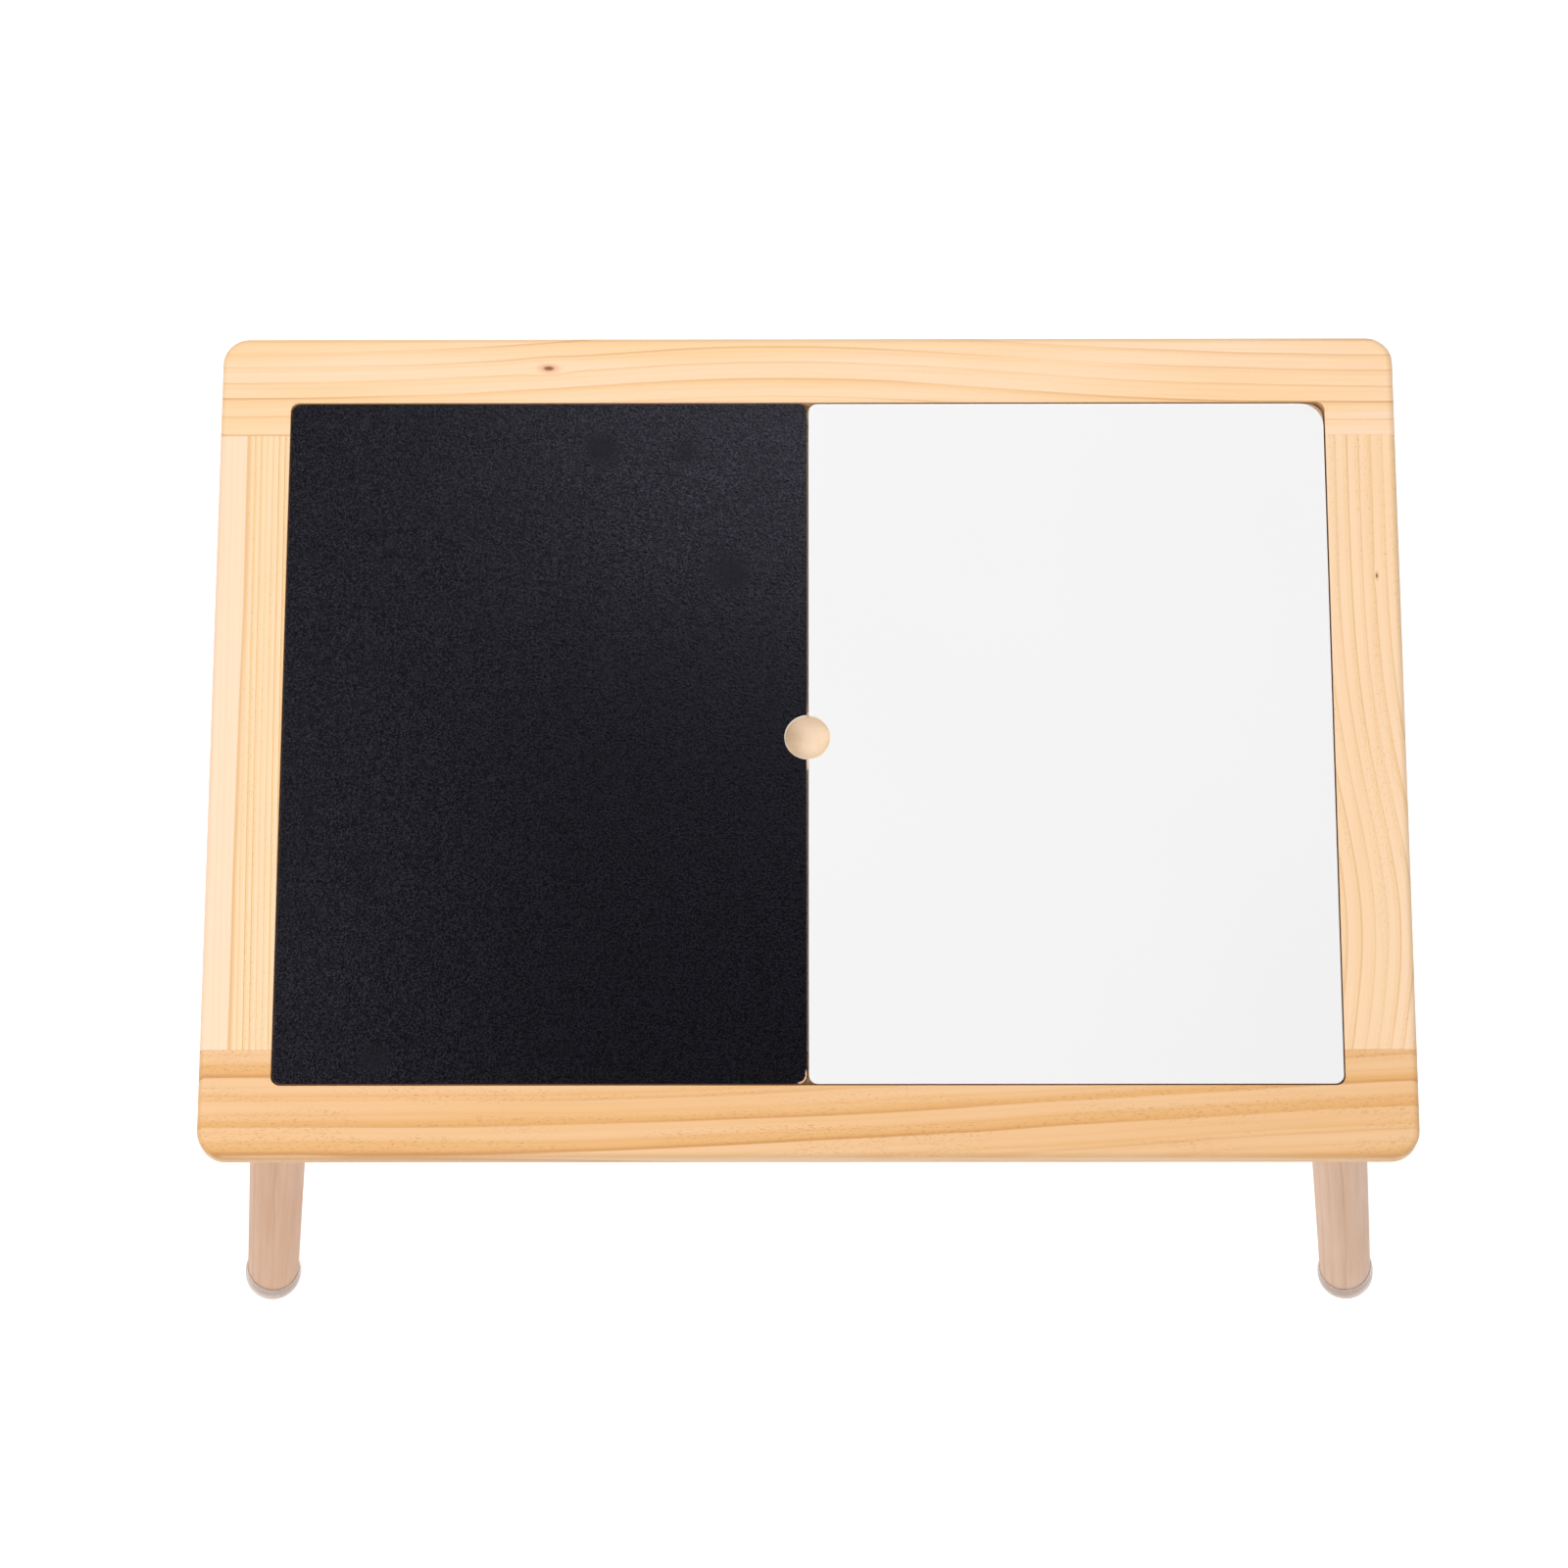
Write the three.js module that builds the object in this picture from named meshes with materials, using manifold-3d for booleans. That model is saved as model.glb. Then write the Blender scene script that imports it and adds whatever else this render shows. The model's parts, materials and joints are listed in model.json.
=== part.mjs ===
// Low children's activity table: a pine frame on four splayed round legs, with a black and a white
// lift-off panel over two storage bins. Millimetres, +Z up, +X right, front at -Y, floor at z = 0.
import * as THREE from "three";
import { mergeVertices } from "three/addons/utils/BufferGeometryUtils.js";
import Module from "manifold-3d";

// Overall size and the frame's boards.
const TABLE_LENGTH = 670;
const TABLE_WIDTH = 480;
const TABLE_HEIGHT = 480;
const BOARD_WIDTH = 60;
const BOARD_THICKNESS = 18;
const CORNER_RADIUS = 15;
const EDGE_RADIUS = 4;
const FIT_GAP = 0.3;
const CUT_RUNOUT = 8;

// The rebate that the panels and the bins' rims drop into.
const LEDGE_WIDTH = 20;
const REBATE_DEPTH = 8;
const REBATE_CORNER = 5;

// The bar under the joint between the panels, with a scooped finger dish.
const BAR_WIDTH = 60;
const BAR_THICKNESS = 18;
const BAR_END_GAP = 1.5;
const DISH_RADIUS = 17;
const DISH_DEPTH = 10;

// Panels: a fibreboard core between a chalk face and a dry-wipe face.
const PANEL_THICKNESS = 5;
const PANEL_FACE = 0.4;
const PANEL_CORNER = 5;
const PANEL_WORN_CORNER = 9;
const PANEL_SIDE_GAP = 0.8;
const PANEL_MIDDLE_GAP = 1.2;
const FINGER_RADIUS = 12.5;

// Storage bins that hang in the frame by their rims.
const BIN_DEPTH = 100;
const BIN_WALL = 2;
const BIN_CORNER = 14;
const BIN_CLEARANCE = 2;
const BIN_DRAFT = 6;
const BIN_RIM_INSET = 13.5;
const BIN_RIM_GAP = 1;

// Cleats under the side boards, which carry the legs.
const CLEAT_WIDTH = 50;
const CLEAT_THICKNESS = 25;
const CLEAT_LENGTH = 448;
const SOCKET_RADIUS = 16.8;
const SOCKET_DEPTH = 4;

// Legs, their splay, and the clear caps pushed on their feet.
const LEG_RADIUS = 16;
const LEG_X = 291.5;
const LEG_Y = 198;
const SPLAY_SIDE = THREE.MathUtils.degToRad(6.25);
const SPLAY_FRONT = THREE.MathUtils.degToRad(1.4);
const LEG_END_ROUND = 3;
const CAP_WALL = 1.2;
const CAP_SOLE = 5.2;
const CAP_HEIGHT = 24;

// Hardware.
const BOLT_RADIUS = 4;
const BOLT_IN_LEG = 30;
const BOLT_IN_CLEAT = 16.5;
const BOLT_POINT = 8;
const BOLT_CHAMFER = 1;
const INSERT_RADIUS = 6;
const INSERT_LENGTH = 13;
const DOWEL_RADIUS = 4;
const DOWEL_LENGTH = 40;
const DOWELS_PER_JOINT = 2;
const BAR_DOWEL_RADIUS = 3;
const BAR_DOWEL_LENGTH = 30;
const BAR_DOWEL_SPREAD = 18;
const DOWEL_CHAMFER = 1;
const SCREW_RADIUS = 2;
const SCREW_HEAD_RADIUS = 4;
const SCREW_HEAD_HEIGHT = 2.6;
const SCREW_LENGTH = 34;
const SCREW_TIP = 4;

// Cleat screws in each corner: inset from the opening's side, and reach from the table's middle.
const SCREW_PLACES = [
  { name: "inner", inset: 28, reach: 110 },
  { name: "outer", inset: 44, reach: 208 },
];

// Places that follow from the sizes above.
const HALF_LENGTH = TABLE_LENGTH / 2;
const HALF_WIDTH = TABLE_WIDTH / 2;
const UNDERSIDE = TABLE_HEIGHT - BOARD_THICKNESS;
const LEDGE_Z = TABLE_HEIGHT - REBATE_DEPTH;
const OPENING_X = HALF_LENGTH - BOARD_WIDTH;
const OPENING_Y = HALF_WIDTH - BOARD_WIDTH;
const REBATE_X = OPENING_X + LEDGE_WIDTH;
const REBATE_Y = OPENING_Y + LEDGE_WIDTH;
const RIM_Z = LEDGE_Z + FIT_GAP;
const PANEL_Z = RIM_Z + BIN_WALL + FIT_GAP;
const CLEAT_TOP = UNDERSIDE - FIT_GAP;
const CLEAT_BOTTOM = UNDERSIDE - CLEAT_THICKNESS;
const AXIS_STRETCH = Math.hypot(Math.tan(SPLAY_SIDE), Math.tan(SPLAY_FRONT), 1);
const SOCKET_END = CLEAT_BOTTOM * AXIS_STRETCH + SOCKET_DEPTH;
const LEG_TOP = SOCKET_END - FIT_GAP;
const LEG_BOTTOM = CAP_SOLE + FIT_GAP;
const DOWEL_PITCH = (BOARD_WIDTH - LEDGE_WIDTH) / (DOWELS_PER_JOINT + 1);

const ROUND_SEGMENTS = 32;
const SMALL_SEGMENTS = 16;
const TINY_SEGMENTS = 12;
const CORNER_SEGMENTS = 6;
const EDGE_SEGMENTS = 3;

const finishes = {
  pine: { color: 0xf3d3a0, roughness: 0.55 },
  legPine: { color: 0xcfa988, roughness: 0.6 },
  fibreboard: { color: 0x9a7754, roughness: 0.85 },
  chalk: { color: 0x1d1d22, roughness: 0.7 },
  dryWipe: { color: 0xf1f1f1, roughness: 0.3 },
  clearPlastic: { color: 0xe9e2d8, roughness: 0.25, transparent: true, opacity: 0.4 },
  binPlastic: { color: 0xf2f3f1, roughness: 0.4 },
  zinc: { color: 0xb9bcc1, roughness: 0.35, metalness: 0.9 },
  beech: { color: 0xe0c094, roughness: 0.7 },
};

const wasm = await Module();
wasm.setup();
const table = new THREE.Group();

// A closed geometry as a solid that can be joined and cut.
function solidOf(geometry) {
  const bare = geometry.clone();
  bare.deleteAttribute("normal");
  bare.deleteAttribute("uv");
  const merged = mergeVertices(bare);
  const mesh = new wasm.Mesh({
    numProp: 3,
    vertProperties: merged.attributes.position.array,
    triVerts: new Uint32Array(merged.index.array),
  });
  return new wasm.Manifold(mesh);
}

// The solid's surface as a geometry.
function geometryOf(solid) {
  const mesh = solid.getMesh();
  const geometry = new THREE.BufferGeometry();
  geometry.setAttribute("position", new THREE.BufferAttribute(mesh.vertProperties, 3));
  geometry.setIndex(new THREE.BufferAttribute(mesh.triVerts, 1));
  geometry.computeVertexNormals();
  return geometry;
}

// Adds one named piece to the table.
function addPiece(name, solid, finish) {
  const material = new THREE.MeshStandardMaterial(finishes[finish]);
  const piece = new THREE.Mesh(geometryOf(solid), material);
  piece.name = name;
  table.add(piece);
}

// A rectangle with round corners; its radii run anticlockwise from the corner at low x and y.
function roundedRectangle(x0, y0, x1, y1, radii) {
  const [a, b, c, d] = radii;
  const shape = new THREE.Shape();
  shape.absarc(x1 - b, y0 + b, b, -Math.PI / 2, 0);
  shape.absarc(x1 - c, y1 - c, c, 0, Math.PI / 2);
  shape.absarc(x0 + d, y1 - d, d, Math.PI / 2, Math.PI);
  shape.absarc(x0 + a, y0 + a, a, Math.PI, Math.PI * 1.5);
  return shape;
}

// A flat outline made thick between two heights.
function slab(shape, z0, z1) {
  const options = { depth: z1 - z0, bevelEnabled: false, curveSegments: CORNER_SEGMENTS };
  return new THREE.ExtrudeGeometry(shape, options).translate(0, 0, z0);
}

function block(x0, y0, z0, x1, y1, z1) {
  const box = new THREE.BoxGeometry(x1 - x0, y1 - y0, z1 - z0);
  return solidOf(box.translate((x0 + x1) / 2, (y0 + y1) / 2, (z0 + z1) / 2));
}

// A turned piece about +Z; its profile is a list of [radius, height] from the foot to the top.
function turned(profile, segments) {
  const points = profile.map(([radius, height]) => new THREE.Vector2(radius, height));
  return new THREE.LatheGeometry(points, segments).rotateX(Math.PI / 2);
}

// A round rod or a drill's cut between two heights, with an optional chamfer at both ends.
function rod(radius, z0, z1, segments, chamfer = 0) {
  const ends = chamfer ? [[radius - chamfer, z0], [radius, z0 + chamfer], [radius, z1 - chamfer],
    [radius - chamfer, z1]] : [[radius, z0], [radius, z1]];
  return turned([[0, z0], ...ends, [0, z1]], segments);
}

// The same rod laid along Y, centred on a point.
function rodAlongY(radius, length, x, y, z, segments, chamfer) {
  const upright = rod(radius, -length / 2, length / 2, segments, chamfer);
  return solidOf(upright.rotateX(Math.PI / 2).translate(x, y, z));
}

const sides = [
  { name: "left", sign: -1 },
  { name: "right", sign: 1 },
];
const ends = [
  { name: "front", sign: -1 },
  { name: "back", sign: 1 },
];
const corners = sides.flatMap((side) => ends.map((end) => ({ side, end })));

// Dowels that join the side boards to the front and back boards, two in each corner.
const boardDowels = corners.flatMap(({ side, end }) =>
  [1, 2].map((number) => ({
    name: `dowel_${end.name}_${side.name}_${number}`,
    x: side.sign * (REBATE_X + number * DOWEL_PITCH),
    y: end.sign * OPENING_Y,
    z: (TABLE_HEIGHT + UNDERSIDE) / 2,
    radius: DOWEL_RADIUS,
    length: DOWEL_LENGTH,
  })),
);

// Thinner dowels that join the centre bar to the front and back boards, two at each end.
const barDowels = ends.flatMap((end) =>
  sides.map((side) => ({
    name: `bar_dowel_${end.name}_${side.name}`,
    x: side.sign * BAR_DOWEL_SPREAD,
    y: end.sign * OPENING_Y,
    z: (LEDGE_Z + UNDERSIDE) / 2,
    radius: BAR_DOWEL_RADIUS,
    length: BAR_DOWEL_LENGTH,
  })),
);
const dowels = [...boardDowels, ...barDowels];

// Countersunk screws that hold each cleat up under the boards.
const screws = corners.flatMap(({ side, end }) =>
  SCREW_PLACES.map((place) => ({
    name: `cleat_screw_${end.name}_${side.name}_${place.name}`,
    x: side.sign * (OPENING_X + place.inset),
    y: end.sign * place.reach,
  })),
);

// The hole that a dowel leaves in the boards it joins.
function dowelHole(dowel) {
  const length = dowel.length + 2 * FIT_GAP;
  return rodAlongY(dowel.radius + FIT_GAP, length, dowel.x, dowel.y, dowel.z, TINY_SEGMENTS);
}

// A countersunk screw pointing up, its head at the cleat's underside; a gap makes it its own hole.
function screwShape(screw, gap) {
  const tip = SCREW_LENGTH + gap;
  const profile = [
    [0, -gap],
    [SCREW_HEAD_RADIUS + gap, -gap],
    [SCREW_RADIUS + gap, SCREW_HEAD_HEIGHT],
    [SCREW_RADIUS + gap, tip - SCREW_TIP],
    [0, tip],
  ];
  const upright = turned(profile, TINY_SEGMENTS);
  return solidOf(upright.translate(screw.x, screw.y, CLEAT_BOTTOM + FIT_GAP));
}

// Takes a list of cuts out of a solid.
function cut(solid, cuts) {
  return cuts.reduce((rest, hole) => rest.subtract(hole), solid);
}

// The whole frame's outside form, with rounded corners and softened outer edges.
function frameBlank() {
  const radii = Array(4).fill(CORNER_RADIUS);
  const outline = roundedRectangle(-HALF_LENGTH, -HALF_WIDTH, HALF_LENGTH, HALF_WIDTH, radii);
  const options = {
    depth: BOARD_THICKNESS - 2 * EDGE_RADIUS,
    bevelThickness: EDGE_RADIUS,
    bevelSize: EDGE_RADIUS,
    bevelOffset: -EDGE_RADIUS,
    bevelSegments: EDGE_SEGMENTS,
    curveSegments: CORNER_SEGMENTS,
  };
  const body = new THREE.ExtrudeGeometry(outline, options);
  return solidOf(body.translate(0, 0, UNDERSIDE + EDGE_RADIUS));
}

// The shallow recess that takes the panels.
function rebateCut() {
  const radii = Array(4).fill(REBATE_CORNER);
  const outline = roundedRectangle(-REBATE_X, -REBATE_Y, REBATE_X, REBATE_Y, radii);
  return solidOf(slab(outline, LEDGE_Z, TABLE_HEIGHT + CUT_RUNOUT));
}

const blank = frameBlank();
const cuts = [rebateCut(), ...dowels.map(dowelHole), ...screws.map((screw) => screwShape(screw, FIT_GAP))];

for (const end of ends) {
  const inner = end.sign * OPENING_Y;
  const outer = end.sign * HALF_WIDTH;
  const [y0, y1] = [Math.min(inner, outer), Math.max(inner, outer)];
  const stock = block(-HALF_LENGTH, y0, UNDERSIDE, HALF_LENGTH, y1, TABLE_HEIGHT);
  addPiece(`${end.name}_board`, cut(blank.intersect(stock), cuts), "pine");
}

for (const side of sides) {
  const inner = side.sign * OPENING_X;
  const outer = side.sign * HALF_LENGTH;
  const [x0, x1] = [Math.min(inner, outer), Math.max(inner, outer)];
  const reach = OPENING_Y - FIT_GAP;
  const stock = block(x0, -reach, UNDERSIDE, x1, reach, TABLE_HEIGHT);
  addPiece(`${side.name}_board`, cut(blank.intersect(stock), cuts), "pine");
}

// The centre bar, level with the ledge, with the finger dish cut as part of a ball.
function centreBar() {
  const reach = OPENING_Y - BAR_END_GAP;
  const stock = block(-BAR_WIDTH / 2, -reach, LEDGE_Z - BAR_THICKNESS, BAR_WIDTH / 2, reach, LEDGE_Z);
  const ballRadius = (DISH_RADIUS ** 2 + DISH_DEPTH ** 2) / (2 * DISH_DEPTH);
  const ball = new THREE.SphereGeometry(ballRadius, ROUND_SEGMENTS, SMALL_SEGMENTS);
  const dish = solidOf(ball.rotateX(Math.PI / 2).translate(0, 0, LEDGE_Z - DISH_DEPTH + ballRadius));
  return cut(stock, [dish, ...barDowels.map(dowelHole)]);
}
addPiece("centre_bar", centreBar(), "pine");

for (const dowel of dowels) {
  const { radius, length, x, y, z } = dowel;
  addPiece(dowel.name, rodAlongY(radius, length, x, y, z, TINY_SEGMENTS, DOWEL_CHAMFER), "beech");
}
for (const screw of screws) {
  addPiece(screw.name, screwShape(screw, 0), "zinc");
}

// Turns a shape made along +Z so that it stands on a leg's splayed axis, with zero at the floor.
function onLegAxis(geometry, side, end) {
  const lean = new THREE.Vector3(
    -side.sign * Math.tan(SPLAY_SIDE),
    -end.sign * Math.tan(SPLAY_FRONT),
    1,
  );
  const foot = new THREE.Vector3(side.sign * LEG_X, end.sign * LEG_Y, UNDERSIDE);
  foot.addScaledVector(lean, -UNDERSIDE);
  const up = new THREE.Vector3(0, 0, 1);
  const turn = new THREE.Quaternion().setFromUnitVectors(up, lean.normalize());
  return solidOf(geometry.applyQuaternion(turn).translate(foot.x, foot.y, foot.z));
}

// A plain dowel leg with a rounded foot and a hole for the bolt in its top.
function leg(side, end) {
  const roundStep = LEG_END_ROUND * (1 - Math.SQRT1_2);
  const profile = [
    [0, LEG_BOTTOM],
    [LEG_RADIUS - LEG_END_ROUND, LEG_BOTTOM],
    [LEG_RADIUS - roundStep, LEG_BOTTOM + roundStep],
    [LEG_RADIUS, LEG_BOTTOM + LEG_END_ROUND],
    [LEG_RADIUS, LEG_TOP],
    [0, LEG_TOP],
  ];
  const stick = onLegAxis(turned(profile, ROUND_SEGMENTS), side, end);
  const low = LEG_TOP - BOLT_IN_LEG - FIT_GAP;
  const pilot = rod(BOLT_RADIUS + FIT_GAP, low, LEG_TOP + CUT_RUNOUT, SMALL_SEGMENTS);
  return stick.subtract(onLegAxis(pilot, side, end));
}

// A clear cup round the leg's foot, whose sole is cut level with the floor.
function footCap(side, end) {
  const inner = LEG_RADIUS + FIT_GAP;
  const outer = inner + CAP_WALL;
  const profile = [
    [0, -CAP_SOLE],
    [outer, -CAP_SOLE],
    [outer, CAP_HEIGHT],
    [inner, CAP_HEIGHT],
    [inner, CAP_SOLE],
    [0, CAP_SOLE],
  ];
  const cup = onLegAxis(turned(profile, ROUND_SEGMENTS), side, end);
  const room = block(-TABLE_LENGTH, -TABLE_LENGTH, 0, TABLE_LENGTH, TABLE_LENGTH, TABLE_HEIGHT);
  return cup.intersect(room);
}

// A hanger bolt: a pointed wood thread in the leg and a blunt machine thread in the insert.
function hangerBolt(side, end) {
  const low = LEG_TOP - BOLT_IN_LEG;
  const high = SOCKET_END + BOLT_IN_CLEAT;
  const profile = [
    [0, low],
    [BOLT_RADIUS, low + BOLT_POINT],
    [BOLT_RADIUS, high - BOLT_CHAMFER],
    [BOLT_RADIUS - BOLT_CHAMFER, high],
    [0, high],
  ];
  return onLegAxis(turned(profile, SMALL_SEGMENTS), side, end);
}

// A threaded insert let into the cleat above the socket.
function threadedInsert(side, end) {
  const low = SOCKET_END + FIT_GAP;
  const high = low + INSERT_LENGTH;
  const bore = BOLT_RADIUS + FIT_GAP;
  const profile = [[bore, low], [INSERT_RADIUS, low], [INSERT_RADIUS, high], [bore, high], [bore, low]];
  return onLegAxis(turned(profile, SMALL_SEGMENTS), side, end);
}

// The socket and the insert's hole for one leg.
function socketCuts(side, end) {
  const mouth = SOCKET_END - SOCKET_DEPTH - CUT_RUNOUT;
  const socket = rod(SOCKET_RADIUS, mouth, SOCKET_END, ROUND_SEGMENTS);
  const high = SOCKET_END + BOLT_IN_CLEAT + FIT_GAP;
  const hole = rod(INSERT_RADIUS + FIT_GAP, SOCKET_END - SOCKET_DEPTH, high, SMALL_SEGMENTS);
  return [onLegAxis(socket, side, end), onLegAxis(hole, side, end)];
}

for (const { side, end } of corners) {
  const place = `${end.name}_${side.name}`;
  addPiece(`leg_${place}`, leg(side, end), "legPine");
  addPiece(`foot_cap_${place}`, footCap(side, end), "clearPlastic");
  addPiece(`hanger_bolt_${place}`, hangerBolt(side, end), "zinc");
  addPiece(`threaded_insert_${place}`, threadedInsert(side, end), "zinc");
}

for (const side of sides) {
  const inner = side.sign * (OPENING_X + FIT_GAP);
  const outer = side.sign * (OPENING_X + FIT_GAP + CLEAT_WIDTH);
  const [x0, x1] = [Math.min(inner, outer), Math.max(inner, outer)];
  const reach = CLEAT_LENGTH / 2;
  const stock = block(x0, -reach, CLEAT_BOTTOM, x1, reach, CLEAT_TOP);
  const holes = screws.map((screw) => screwShape(screw, FIT_GAP));
  const sockets = ends.flatMap((end) => socketCuts(side, end));
  addPiece(`${side.name}_cleat`, cut(stock, [...holes, ...sockets]), "pine");
}

// Narrows a block evenly towards its foot, as a moulded bin's walls do.
function drafted(geometry, centreX, halfX, halfY, z0, z1) {
  const position = geometry.attributes.position;
  for (let i = 0; i < position.count; i += 1) {
    const drop = ((z1 - position.getZ(i)) / (z1 - z0)) * BIN_DRAFT;
    const x = centreX + (position.getX(i) - centreX) * (1 - drop / halfX);
    const y = position.getY(i) * (1 - drop / halfY);
    position.setXY(i, x, y);
  }
  return geometry;
}

// A block with round corners and drafted walls, on one half of the table.
function draftedBlock(side, inset, z0, z1) {
  const low = BAR_WIDTH / 2 + BIN_CLEARANCE + inset;
  const high = OPENING_X - BIN_CLEARANCE - inset;
  const halfX = (high - low) / 2;
  const halfY = OPENING_Y - BIN_CLEARANCE - inset;
  const radii = Array(4).fill(BIN_CORNER - inset);
  const centreX = (side.sign * (low + high)) / 2;
  const outline = roundedRectangle(centreX - halfX, -halfY, centreX + halfX, halfY, radii);
  return solidOf(drafted(slab(outline, z0, z1), centreX, halfX, halfY, z0, z1));
}

// A bin: a flat rim on the ledge, drafted walls, and a floor.
function bin(side) {
  const top = RIM_Z + BIN_WALL;
  const floor = top - BIN_DEPTH;
  const edge = side.sign * (REBATE_X - BIN_RIM_GAP);
  const middle = side.sign * BIN_RIM_INSET;
  const [x0, x1] = [Math.min(edge, middle), Math.max(edge, middle)];
  const reach = REBATE_Y - BIN_RIM_GAP;
  const radii = Array(4).fill(REBATE_CORNER);
  const rim = solidOf(slab(roundedRectangle(x0, -reach, x1, reach, radii), RIM_Z, top));
  const outside = draftedBlock(side, 0, floor, top);
  const inside = draftedBlock(side, BIN_WALL, floor + BIN_WALL, top + BIN_WALL);
  return rim.add(outside).subtract(inside);
}

// A panel's outline, with half of the finger hole; the right panel has one corner worn rounder.
function panelOutline(side) {
  const edge = side.sign * (REBATE_X - PANEL_SIDE_GAP);
  const middle = (side.sign * PANEL_MIDDLE_GAP) / 2;
  const [x0, x1] = [Math.min(edge, middle), Math.max(edge, middle)];
  const reach = REBATE_Y - PANEL_SIDE_GAP;
  const radii = Array(4).fill(PANEL_CORNER);
  if (side.name === "right") {
    radii[2] = PANEL_WORN_CORNER;
  }
  return roundedRectangle(x0, -reach, x1, reach, radii);
}

// One layer of a panel between two heights.
function panelLayer(side, z0, z1) {
  const finger = rod(FINGER_RADIUS, LEDGE_Z, TABLE_HEIGHT, ROUND_SEGMENTS);
  return solidOf(slab(panelOutline(side), z0, z1)).subtract(solidOf(finger));
}

for (const side of sides) {
  const top = PANEL_Z + PANEL_THICKNESS;
  const upper = side.name === "left" ? "chalk" : "dryWipe";
  const lower = side.name === "left" ? "dryWipe" : "chalk";
  const coreLow = PANEL_Z + PANEL_FACE + FIT_GAP;
  const coreHigh = top - PANEL_FACE - FIT_GAP;
  addPiece(`${side.name}_bin`, bin(side), "binPlastic");
  addPiece(`${side.name}_panel_core`, panelLayer(side, coreLow, coreHigh), "fibreboard");
  addPiece(`${side.name}_panel_top_face`, panelLayer(side, top - PANEL_FACE, top), upper);
  addPiece(`${side.name}_panel_under_face`, panelLayer(side, PANEL_Z, PANEL_Z + PANEL_FACE), lower);
}

export default table;
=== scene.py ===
import json
import math

import bmesh
import bpy
import numpy as np
from mathutils import Matrix, Vector


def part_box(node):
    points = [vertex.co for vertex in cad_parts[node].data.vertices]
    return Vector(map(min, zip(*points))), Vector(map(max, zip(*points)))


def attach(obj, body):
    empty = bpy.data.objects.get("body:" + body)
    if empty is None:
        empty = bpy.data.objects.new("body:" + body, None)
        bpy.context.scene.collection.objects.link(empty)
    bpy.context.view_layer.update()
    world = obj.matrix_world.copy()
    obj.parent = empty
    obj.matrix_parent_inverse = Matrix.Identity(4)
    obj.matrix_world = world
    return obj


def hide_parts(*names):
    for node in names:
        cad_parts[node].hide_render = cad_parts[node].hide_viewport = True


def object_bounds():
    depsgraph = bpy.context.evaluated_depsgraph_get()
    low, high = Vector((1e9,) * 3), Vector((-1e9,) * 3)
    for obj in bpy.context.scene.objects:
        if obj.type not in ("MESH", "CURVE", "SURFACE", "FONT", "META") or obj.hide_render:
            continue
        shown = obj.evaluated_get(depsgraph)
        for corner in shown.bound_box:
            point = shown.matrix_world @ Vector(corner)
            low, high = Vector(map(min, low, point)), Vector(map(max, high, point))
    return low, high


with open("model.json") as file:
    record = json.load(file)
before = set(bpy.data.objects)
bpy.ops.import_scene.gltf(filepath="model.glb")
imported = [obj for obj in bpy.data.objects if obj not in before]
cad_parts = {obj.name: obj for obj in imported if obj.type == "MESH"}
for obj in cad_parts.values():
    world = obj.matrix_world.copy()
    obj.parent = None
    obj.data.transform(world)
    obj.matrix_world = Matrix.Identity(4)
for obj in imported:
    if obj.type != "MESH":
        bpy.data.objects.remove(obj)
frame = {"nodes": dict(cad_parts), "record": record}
cad_low, cad_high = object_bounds()


# ---------------------------------------------------------------- camera
# A long lens looks down on the table from the front, almost square to its top. It aims a little
# in front of the middle of the top, so that the feet of both front legs are in view.
aim = Vector((-0.0132, -0.0275, cad_high.z))
pitch, yaw, roll = (math.radians(angle) for angle in (73.29, 1.14, -1.15))
camera_distance = 2.845
camera = bpy.data.objects.new("camera", bpy.data.cameras.new("camera"))
camera.data.sensor_width = 36
camera.data.lens = 117
camera.matrix_world = (
    Matrix.Translation(aim)
    @ Matrix.Rotation(yaw, 4, "Z")
    @ Matrix.Rotation(math.pi / 2 - pitch, 4, "X")
    @ Matrix.Rotation(roll, 4, "Z")
    @ Matrix.Translation((0, 0, camera_distance))
)
bpy.context.scene.collection.objects.link(camera)
bpy.context.scene.camera = camera
bpy.context.scene.view_settings.view_transform = "Standard"


# ---------------------------------------------------------------- studio floor
# White acrylic sheet on a lit table. Its own glow lifts the shadows that fall on it, so the
# table seems to stand in plain white, with only a faint shade under it.
floor_level = -0.0003
floor_radius = 12.0
floor_sides = 96
floor_glow = 0.72


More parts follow.
